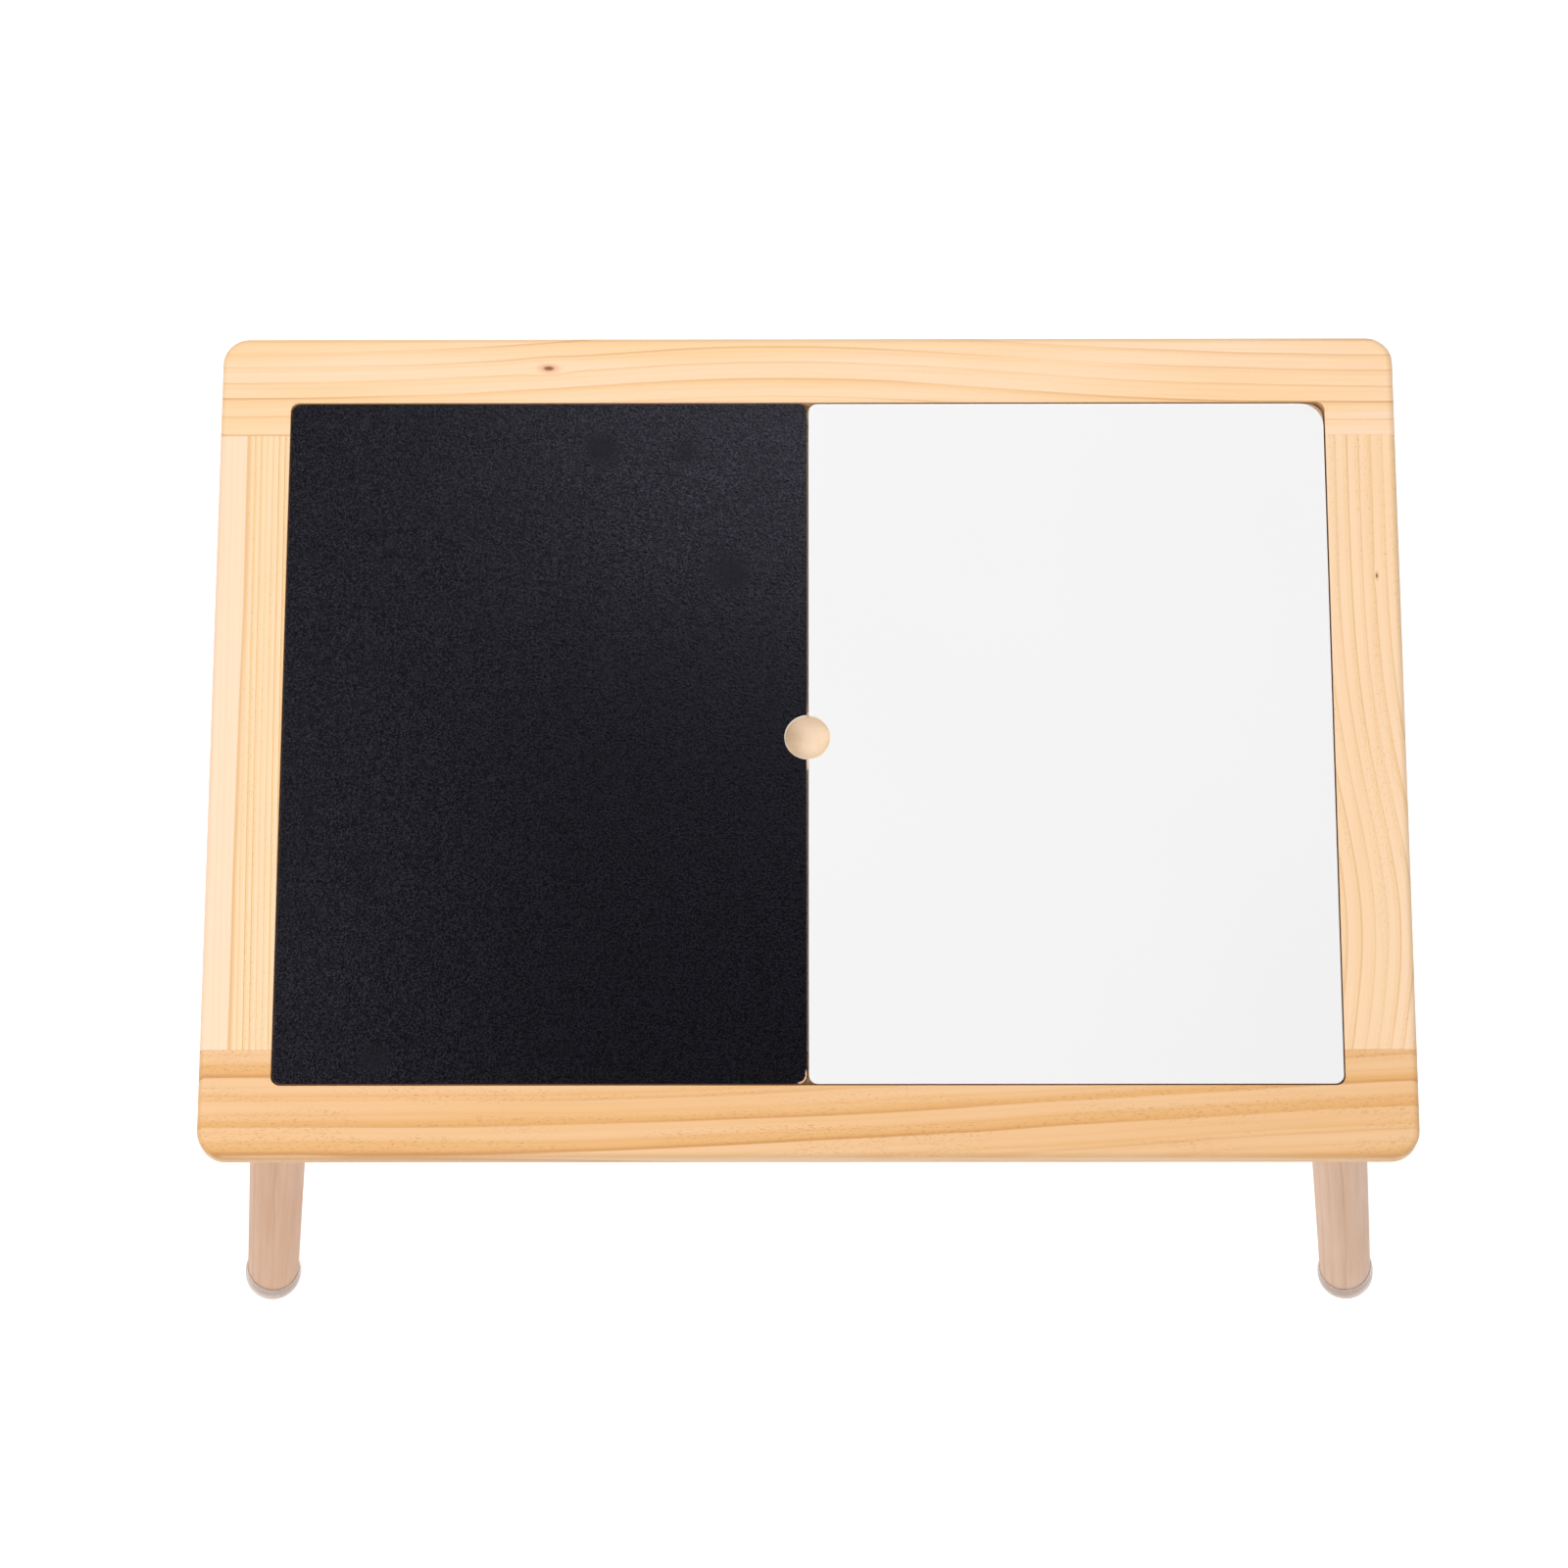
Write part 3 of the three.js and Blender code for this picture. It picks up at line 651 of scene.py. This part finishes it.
def fibreboard():
    """Routed fibreboard edge: short felted fibres, burnished brown, but pale round the hole, as sanded board
    with a painted highlight on the lit cut edge.
    """
    material, shader, place = new_finish("routed_fibreboard")
    felt = place.noise((900.0, 900.0, 2600.0), 4.0)
    layer = place.noise((30.0, 30.0, 900.0), 2.0, 3.0)
    mask = (felt + layer * 0.6 + 0.45).maths("MAXIMUM", 0.0)
    edge = mask.tint(colour(0.36, 0.20, 0.12), colour(0.60, 0.40, 0.28))
    x, y, _ = place.node("ShaderNodeSeparateXYZ", {}, {0: place})
    # Pale near the finger hole: sanded board, and a painted highlight on the lit cut edge.
    pale_lit_ring = ((x * x + y * y) ** 0.5).ease(finger_radius + pale_ring_end, finger_radius + pale_ring_full)
    pale_lit_ring.tint(edge, colour(0.97, 0.87, 0.74)).into(shader, "Base Color")
    (felt * 0.2 + 0.85).into(shader, "Roughness")
    raise_bumps(felt, shader, 0.00025)
    return material


films = {"chalk_face": chalk_film(), "dry_wipe_face": dry_wipe_film()}
core_board = fibreboard()
for side in ("left", "right"):
    under, over = ("dry_wipe_face", "chalk_face") if side == "left" else ("chalk_face", "dry_wipe_face")
    top_low, top_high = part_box(f"{side}_panel_top_face")
    under_low, under_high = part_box(f"{side}_panel_under_face")
    layers = (
        ("top_face", "top_film", over, films[over], 0.0, film_setback, top_low.z, top_high.z),
        ("core", "board", "fibreboard", core_board, core_inset, 0.0, under_high.z, top_low.z),
        ("under_face", "under_film", under, films[under], 0.0, film_setback,
         under_low.z, under_high.z),
    )
    for node, name, slot, finish, inset, setback, z0, z1 in layers:
        shape = panel_layer(f"{side}_panel_{node}", side, film_round, inset, setback, z0, z1)
        piece = smooth_piece(f"{side}_panel_{name}", *shape, finish)
        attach(piece, f"{side}_panel")
        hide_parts(f"{side}_panel_{node}")


# ---------------------------------------------------------------- storage bins
# Two thin-walled white bins, injection moulded in polypropylene. Each hangs by a flat rim on the
# frame's ledge, and its walls narrow to the floor so that it leaves the mould and lifts out.
bin_wall = 0.002
bin_corner = 0.014
bin_draft = 0.006
bin_clearance = 0.002
floor_round = 0.008
rim_round = 0.0009
throat_round = 0.003
foot_land = 0.003
foot_step = 0.001
floor_land = 0.002
wall_start = 0.02
wall_stages = 6
under_rim = 0.001
bin_corner_points = 10


def bin_rings(low, high):
    """The right bin, as one skin: out under the floor, up the walls, over the rim and back inside."""
    body_x0, body_x1 = bar_high.x + bin_clearance, half_length - board_width - bin_clearance
    body_y = joint_y - bin_clearance
    depth = high.z - low.z

    def ring(x0, x1, y, corner, level):
        outline = rounded([(x0, -y), (x1, -y), (x1, y), (x0, y)], [corner] * 4, bin_corner_points)
        return np.column_stack((outline, np.full(len(outline), level)))

    def wall(inset, level):
        pull = inset + bin_draft * (high.z - level) / depth
        return ring(body_x0 + pull, body_x1 - pull, body_y - pull, bin_corner - inset, level)

    def rim(inset, level):
        return ring(low.x + inset, high.x - inset, high.y - inset, rebate_corner - inset, level)

    base, under = low.z + bin_wall, high.z - bin_wall
    foot, inner = floor_round, floor_round - bin_wall
    rings = [wall(foot + foot_land + foot_step, low.z + foot_step)]
    rings += [wall(foot + foot_land, low.z), wall(foot, low.z)]
    rings += [wall(foot * (1 - s), low.z + foot * (1 - c)) for s, c in quarter()[1:]]
    rings += [wall(0, level) for level in np.linspace(low.z + wall_start, under - under_rim, wall_stages)]
    rings += [wall(-under_rim, under), rim(rim_round + flat_land, under)]
    rings += [rim(rim_round * (1 - s), under + rim_round * (1 - c)) for s, c in quarter(small_round)]
    rings += [rim(rim_round * (1 - c), high.z - rim_round * (1 - s)) for s, c in quarter(small_round)]
    rings.append(rim(rim_round + flat_land, high.z))
    rings.append(wall(bin_wall - throat_round - flat_land, high.z))
    for s, c in quarter(6):
        rings.append(wall(bin_wall - throat_round * (1 - s), high.z - throat_round * (1 - c)))
    for level in np.linspace(high.z - wall_start, low.z + wall_start, wall_stages):
        rings.append(wall(bin_wall, level))
    rings += [wall(bin_wall + inner * (1 - c), base + inner * (1 - s)) for s, c in quarter()]
    rings.append(wall(bin_wall + inner + floor_land, base))
    return np.array(rings)


def polypropylene():
    """White polypropylene: a soft sheen, a fine spark-eroded grain and faint flow marks."""
    material, shader, place = new_finish("bin_polypropylene")
    grain = place.noise((1600.0, 1600.0, 1600.0), 2.0)
    flow = place.noise((12.0, 12.0, 4.0), 3.0, 1.1)
    (flow + 0.5).tint(colour(0.80, 0.805, 0.80), colour(0.86, 0.865, 0.86)).into(shader, "Base Color")
    (flow * 0.2 + grain * 0.1 + 0.42).into(shader, "Roughness")
    raise_bumps(grain, shader, 0.00004)
    return material


bin_plastic = polypropylene()
for side in ("left", "right"):
    rings = bin_rings(*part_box("right_bin"))
    if side == "left":
        rings = (rings * (-1, 1, 1))[:, ::-1]
    piece = smooth_piece(f"{side}_storage_bin", *stacked(rings), bin_plastic)
    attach(piece, f"{side}_bin")
    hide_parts(f"{side}_bin")


# ---------------------------------------------------------------- cleats
# A planed pine batten under each side board bridges the frame's joints. It is screwed up from
# below, and a shallow socket near each end takes the head of a leg.
cleat_edge = 0.0008


def eased_copy(node, name, width):
    """A copy of a node's mesh with its loose triangles joined and its sharp edges rounded."""
    mesh = frame["nodes"][node].data.copy()
    mesh.name = name
    mesh.materials.clear()
    shell = bmesh.new()
    shell.from_mesh(mesh)
    bmesh.ops.remove_doubles(shell, verts=shell.verts, dist=0.00001)
    bmesh.ops.dissolve_limit(shell, angle_limit=math.radians(2), verts=shell.verts, edges=shell.edges)
    shell.to_mesh(mesh)
    shell.free()
    mesh.shade_smooth()
    mesh.set_sharp_from_angle(angle=math.radians(40))
    piece = bpy.data.objects.new(name, mesh)
    bpy.context.scene.collection.objects.link(piece)
    bevel = piece.modifiers.new("eased_edges", "BEVEL")
    bevel.width = width
    bevel.segments = 2
    bevel.limit_method = "ANGLE"
    bevel.angle_limit = math.radians(50)
    return piece


for side, seed in (("left", 21.0), ("right", 33.0)):
    low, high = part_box(f"{side}_cleat")
    piece = eased_copy(f"{side}_cleat", f"{side}_batten", cleat_edge)
    piece.data.materials.append(
        pine(f"{side}_batten_pine", (low + high) / 2, (0, 1, 0), pith=(0.05, 0.03), ring=0.005,
             flecks=0.4, seed=seed))
    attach(piece, "table")
    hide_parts(f"{side}_cleat")


# ---------------------------------------------------------------- legs
# Four plain pine dowels with a rounded foot, splayed outwards. Each head sits in a cleat's
# socket, pulled up by its bolt. Their pine is painted darker than the top's, as painted shade for
# the shadow under the table, and the left pair is painted darker and pinker still.
foot_mounts = {mount["name"]: Vector(mount["pos_m"]) for mount in frame["record"]["mounts"]}
leg_radius = 0.016
leg_round = 0.003
leg_sides = 72
head_chamfer = 0.001
shaft_start = 0.06
shaft_stages = 5
cap_sole = 0.0052
cap_fit = 0.0003
# The legs' colours are the pine painted darker, as painted shade under the table's top; the left pair is
# tinted darker and pinker still.
shaded_leg_tones = {"pale": (0.68, 0.43, 0.28), "warm": (0.63, 0.37, 0.22), "gold": (0.56, 0.30, 0.16),
             "dark": (0.42, 0.20, 0.09)}
leg_tint = {"left": (0.95, 0.84, 0.71), "right": (1.0, 1.0, 1.0)}


def middle_of(node):
    """The middle of a node's box."""
    low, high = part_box(node)
    return (low + high) / 2


def turned(start, axis, distance, radius, sides):
    """Rings about an axis: each lies at a distance along it and has a radius.

    Both may be one value for each ring, or a value for each point of each ring.
    """
    axis = np.array(Vector(axis).normalized())
    helper = (0, 1, 0) if abs(axis[1]) < 0.5 else (1, 0, 0)
    side = np.cross(helper, axis)
    side /= np.linalg.norm(side)
    other = np.cross(axis, side)
    angle = np.arange(sides) * 2 * math.pi / sides
    spokes = np.cos(angle)[:, None] * side + np.sin(angle)[:, None] * other
    distance = np.asarray(distance, float)
    radius = np.asarray(radius, float)
    distance = distance if distance.ndim == 2 else np.repeat(distance[:, None], sides, axis=1)
    radius = radius if radius.ndim == 2 else np.repeat(radius[:, None], sides, axis=1)
    return np.array(start) + radius[..., None] * spokes + distance[..., None] * axis


corners = [(end, side) for end in ("front", "back") for side in ("left", "right")]
leg_axes = {}
for end, side in corners:
    foot = foot_mounts[f"foot_{end}_{side}"]
    axis = (middle_of(f"threaded_insert_{end}_{side}") - foot).normalized()
    leg_axes[end, side] = (foot, axis)

for number, (end, side) in enumerate(corners):
    foot, axis = leg_axes[end, side]
    low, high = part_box(f"leg_{end}_{side}")
    tilt = math.sqrt(1 - axis.z ** 2)
    head = (high.z - leg_radius * tilt) / axis.z
    start = cap_sole + cap_fit
    s, c = np.array(quarter(7)).T
    distance = np.concatenate((
        [start], start + leg_round * (1 - c),
        np.linspace(shaft_start, head - shaft_start, shaft_stages), [head - head_chamfer, head, head]))
    radius = np.concatenate((
        [leg_radius - leg_round - flat_land], leg_radius - leg_round * (1 - s),
        np.full(shaft_stages, leg_radius),
        [leg_radius, leg_radius - head_chamfer, leg_radius - 2 * head_chamfer]))
    tones = {part: tuple(np.array(tone) * leg_tint[side]) for part, tone in shaded_leg_tones.items()}
    finish = pine(f"leg_pine_{end}_{side}", foot, axis, pith=(0.012, 0.020), ring=0.0058, sway=0.006,
                  bands=0.45, lines=0.35, flecks=0.2, seed=40.0 + 5 * number, **tones)
    rings = turned(foot, axis, distance, radius, leg_sides)
    piece = smooth_piece(f"leg_dowel_{end}_{side}", *stacked(rings), finish)
    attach(piece, "table")
    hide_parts(f"leg_{end}_{side}")


# ---------------------------------------------------------------- foot caps
# Clear vinyl cups, dipped and pushed on the feet. The wall thins out to its lip, the sole is
# thick, rounded at its edge and level with the floor.
cap_radius = 0.0175
cap_height = 0.024
cap_lip = 0.0164
cap_bore = 0.0161
cap_round = 0.0035
cap_wall_start = 0.009
cap_sides = 64
lip_edge = 0.0005
lip_ease = 0.0001


def clear_vinyl():
    """Clear soft vinyl, yellowed to the wood's tone, with faint ripples from dipping."""
    material, shader, place = new_finish(
        "clear_vinyl", IOR=1.35, Transmission_Weight=0.65, Specular_IOR_Level=0.5)
    ripple = place.noise((120.0, 120.0, 240.0), 2.0)
    haze = place.noise((60.0, 60.0, 60.0), 3.0)
    (haze + 0.5).tint(colour(0.80, 0.62, 0.52), colour(0.74, 0.56, 0.46)).into(shader, "Base Color")
    (haze * 0.15 + 0.25).into(shader, "Roughness")
    raise_bumps(ripple, shader, 0.0001)
    return material


def cap_rings(foot, axis):
    """A cup about the leg's axis, as one skin: out under the sole, up the wall and back down inside.

    The sole and its round are measured upwards from the floor: a point there moves along the axis
    until it has the height asked for. The wall thins to the lip as half a cosine wave.
    """
    def above_floor(radius, height):
        flat = turned(foot, axis, [0.0], [radius], cap_sides)
        climb = (height - flat[..., 2]) / axis.z
        return turned(foot, axis, climb, [radius], cap_sides)[0]

    def on_axis(radius, distance):
        return turned(foot, axis, [distance], [radius], cap_sides)[0]

    rings = [above_floor(cap_radius - cap_round - flat_land, 0)]
    rings += [above_floor(cap_radius - cap_round * (1 - s), cap_round * (1 - c)) for s, c in quarter()]
    for t in np.linspace(0, 1, 9):
        bulge = (1 + math.cos(math.pi * t)) / 2
        distance = cap_wall_start + (cap_height - lip_edge - cap_wall_start) * t
        rings.append(on_axis(cap_lip + (cap_radius - cap_lip) * bulge, distance))
    rings.append(on_axis(cap_lip - lip_ease, cap_height))
    rings.append(on_axis(cap_bore, cap_height - 2 * lip_ease))
    for s, c in quarter(6):
        rings.append(on_axis(cap_bore - leg_round * (1 - c), cap_sole + leg_round * (1 - s)))
    rings.append(on_axis(cap_bore - leg_round - flat_land, cap_sole))
    return np.array(rings)


vinyl = clear_vinyl()
for end, side in corners:
    piece = smooth_piece(f"clear_foot_{end}_{side}", *stacked(cap_rings(*leg_axes[end, side])), vinyl)
    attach(piece, "table")
    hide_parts(f"foot_cap_{end}_{side}")


# ---------------------------------------------------------------- bolts
# Hanger bolts of bright zinc-plated steel. Each joins a leg to the threaded insert in the cleat,
# with a coarse wood thread in the leg, a plain waist and a machine thread above. A thread is
# given as its pitch and its depth.
bolt_radius = 0.004
wood_thread = (0.0032, 0.0009)
machine_thread = (0.00125, 0.0005)
waist_rise = 0.006
waist_share = 0.8
waist_half = 0.001
thread_fade = 0.003
point_length = 0.008
point_share = 0.08
end_chamfer = 0.0015
end_share = 0.75
rings_per_turn = 7


def plated(name, base, stain, roughness):
    """Bright plating over rolled steel: fine drawing marks and clouded brightness."""
    material, shader, place = new_finish(name, Metallic=1.0)
    cloud = place.noise((300.0, 300.0, 300.0), 3.0)
    mark = place.noise((2500.0, 2500.0, 400.0), 2.0)
    (cloud + 0.5).tint(colour(*base), colour(*stain)).into(shader, "Base Color")
    (mark * 0.2 + roughness).into(shader, "Roughness")
    raise_bumps(mark, shader, 0.00001)
    return material


def thread_rings(start, axis, stations, outer, pitch, depth, sides=24):
    """A rod with a screw thread: its radius dips as a cosine wave that climbs a pitch in each turn.

    Stations are (distance, share of the radius), and the thread fades as the share shrinks.
    """
    spans = [np.linspace(a, b, max(int((b - a) / pitch * rings_per_turn), 2), endpoint=False)
             for (a, _), (b, _) in zip(stations, stations[1:])]
    spots = np.concatenate((*spans, [stations[-1][0]]))
    share = np.interp(spots, *zip(*stations))
    turns = spots[:, None] / pitch - np.arange(sides) / sides
    wave = 0.5 - 0.5 * np.cos(2 * math.pi * turns)
    radius = outer * share[:, None] - depth * wave * np.clip(share[:, None] * 1.5 - 0.5, 0, 1)
    return turned(start, axis, spots, np.maximum(radius, 0.0002), sides)


bright_zinc = plated("bright_zinc", (0.62, 0.64, 0.66), (0.50, 0.52, 0.55), 0.3)
for end, side in corners:
    foot, axis = leg_axes[end, side]
    node = f"hanger_bolt_{end}_{side}"
    low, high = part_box(node)
    tilt = math.sqrt(1 - axis.z ** 2)
    bottom, top = low.z / axis.z, (high.z - bolt_radius * tilt) / axis.z
    waist = (bottom + top) / 2 + waist_rise
    wood = [(bottom, point_share), (bottom + point_length, 1.0),
            (waist - thread_fade, 1.0), (waist - waist_half, waist_share)]
    machine = [(waist + waist_half, waist_share), (waist + thread_fade, 1.0),
               (top - end_chamfer, 1.0), (top, end_share)]
    rings = np.concatenate((
        thread_rings(foot, axis, wood, bolt_radius, *wood_thread),
        thread_rings(foot, axis, machine, bolt_radius, *machine_thread)))
    piece = smooth_piece(f"leg_bolt_{end}_{side}", *stacked(rings), bright_zinc, 60)
    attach(piece, "table")
    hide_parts(node)


# ---------------------------------------------------------------- threaded inserts
# Yellow-plated steel sleeves screwed into the cleats above the sockets. A coarse thread outside
# bites in the wood, and a fine thread inside takes the leg's bolt.
insert_radius = 0.006
insert_length = 0.013
insert_bore = 0.0049
insert_thread = (0.0035, 0.0010)
insert_chamfer = 0.001
mouth_share = 0.92

yellow_zinc = plated("yellow_zinc", (0.70, 0.62, 0.40), (0.58, 0.47, 0.27), 0.32)
for end, side in corners:
    foot, axis = leg_axes[end, side]
    node = f"threaded_insert_{end}_{side}"
    middle = (middle_of(node) - foot).length
    bottom, top = middle - insert_length / 2, middle + insert_length / 2
    outside = [(bottom, mouth_share), (bottom + insert_chamfer, 1.0),
               (top - insert_chamfer, 1.0), (top, mouth_share)]
    inside = [(bottom, 1.0), (top, 1.0)]
    rings = np.concatenate((
        thread_rings(foot, axis, outside, insert_radius, *insert_thread),
        thread_rings(foot, axis, inside, insert_bore, *machine_thread)[::-1]))
    piece = smooth_piece(f"leg_insert_{end}_{side}", *stacked(rings, closed=True), yellow_zinc, 60)
    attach(piece, "table")
    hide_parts(node)


# ---------------------------------------------------------------- cleat screws
# Countersunk wood screws, driven up through the cleats with a cross-head driver. Two hold each end
# of a cleat: one in the side board and one in the long board.
screw_radius = 0.002
screw_head = 0.0039
screw_sides = 32
screw_thread = (0.0022, 0.0006)
thread_stations = [(0.0030, 1.0), (0.0300, 1.0), (0.0338, 0.1)]
head_height = 0.0026
head_round = (0.0003, 0.0001)
recess_depth = 0.0015
recess_core = 0.0006
recess_arms = 0.0015
recess_taper = 0.6


def screw_rings(start):
    """A screw that points up, as one skin: out of the cross recess, over the head, up the thread.

    The recess's radius at an angle t is a small core plus arms that follow cos(2t) to the sixth.
    """
    angle = np.arange(screw_sides) * 2 * math.pi / screw_sides
    cross = recess_core + recess_arms * np.cos(2 * angle) ** 6
    up = (0, 0, 1)
    head_radii = [screw_head - head_round[0], screw_head, screw_radius]
    return np.concatenate((
        turned(start, up, [recess_depth, 0.0], np.array([cross * recess_taper, cross]), screw_sides),
        turned(start, up, [0.0, head_round[1], head_height], head_radii, screw_sides),
        thread_rings(start, up, thread_stations, screw_radius, *screw_thread, screw_sides)))


for end, side in corners:
    for place in ("inner", "outer"):
        node = f"cleat_screw_{end}_{side}_{place}"
        middle = middle_of(node)
        rings = screw_rings((middle.x, middle.y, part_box(node)[0].z))
        piece = smooth_piece(f"batten_screw_{end}_{side}_{place}", *stacked(rings), bright_zinc, 50)
        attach(piece, "table")
        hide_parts(node)


# ---------------------------------------------------------------- dowels
# Fluted beech pins, glued in the joints: two in each corner of the frame, and two thinner ones at
# each end of the centre bar. The flutes, a share of the radius deep, let the glue spread.
dowel_chamfer = 0.001
flutes = 12
flute_depth = 0.07


def fluted_rings(low, high):
    """A rod along Y. Its radius at an angle t dips by the flute depth as a cosine of flutes times t."""
    sides = 6 * flutes
    angle = np.arange(sides) * 2 * math.pi / sides
    flute = 1 - flute_depth * (0.5 - 0.5 * np.cos(flutes * angle))
    radius, length = (high.z - low.z) / 2, high.y - low.y
    profile = np.array([radius - dowel_chamfer, radius, radius, radius - dowel_chamfer])
    distance = [0.0, dowel_chamfer, length - dowel_chamfer, length]
    start = ((low.x + high.x) / 2, low.y, (low.z + high.z) / 2)
    return turned(start, (0, 1, 0), distance, profile[:, None] * flute, sides)


def beech():
    """Steamed beech: pinkish brown, with long fine fibres and short darker rays."""
    material, shader, place = new_finish("steamed_beech", Specular_IOR_Level=0.35)
    fibre = place.noise((1200.0, 30.0, 1200.0), 3.0)
    ray = place.noise((1800.0, 260.0, 1800.0), 0.0, 2.0).ease(0.12, 0.22)
    base = (fibre + 0.5).tint(colour(0.60, 0.38, 0.22), colour(0.72, 0.50, 0.31))
    (ray * 0.6).tint(base, colour(0.36, 0.18, 0.09)).into(shader, "Base Color")
    (fibre * 0.2 + 0.62).into(shader, "Roughness")
    raise_bumps(fibre, shader, 0.00008)
    return material


beech_wood = beech()
dowel_nodes = {f"dowel_{end}_{side}_{number}": f"corner_dowel_{end}_{side}_{number}"
               for end, side in corners for number in (1, 2)}
dowel_nodes |= {f"bar_dowel_{end}_{side}": f"bar_pin_{end}_{side}" for end, side in corners}
for node, name in dowel_nodes.items():
    piece = smooth_piece(name, *stacked(fluted_rings(*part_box(node))), beech_wood, 40)
    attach(piece, "table")
    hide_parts(node)
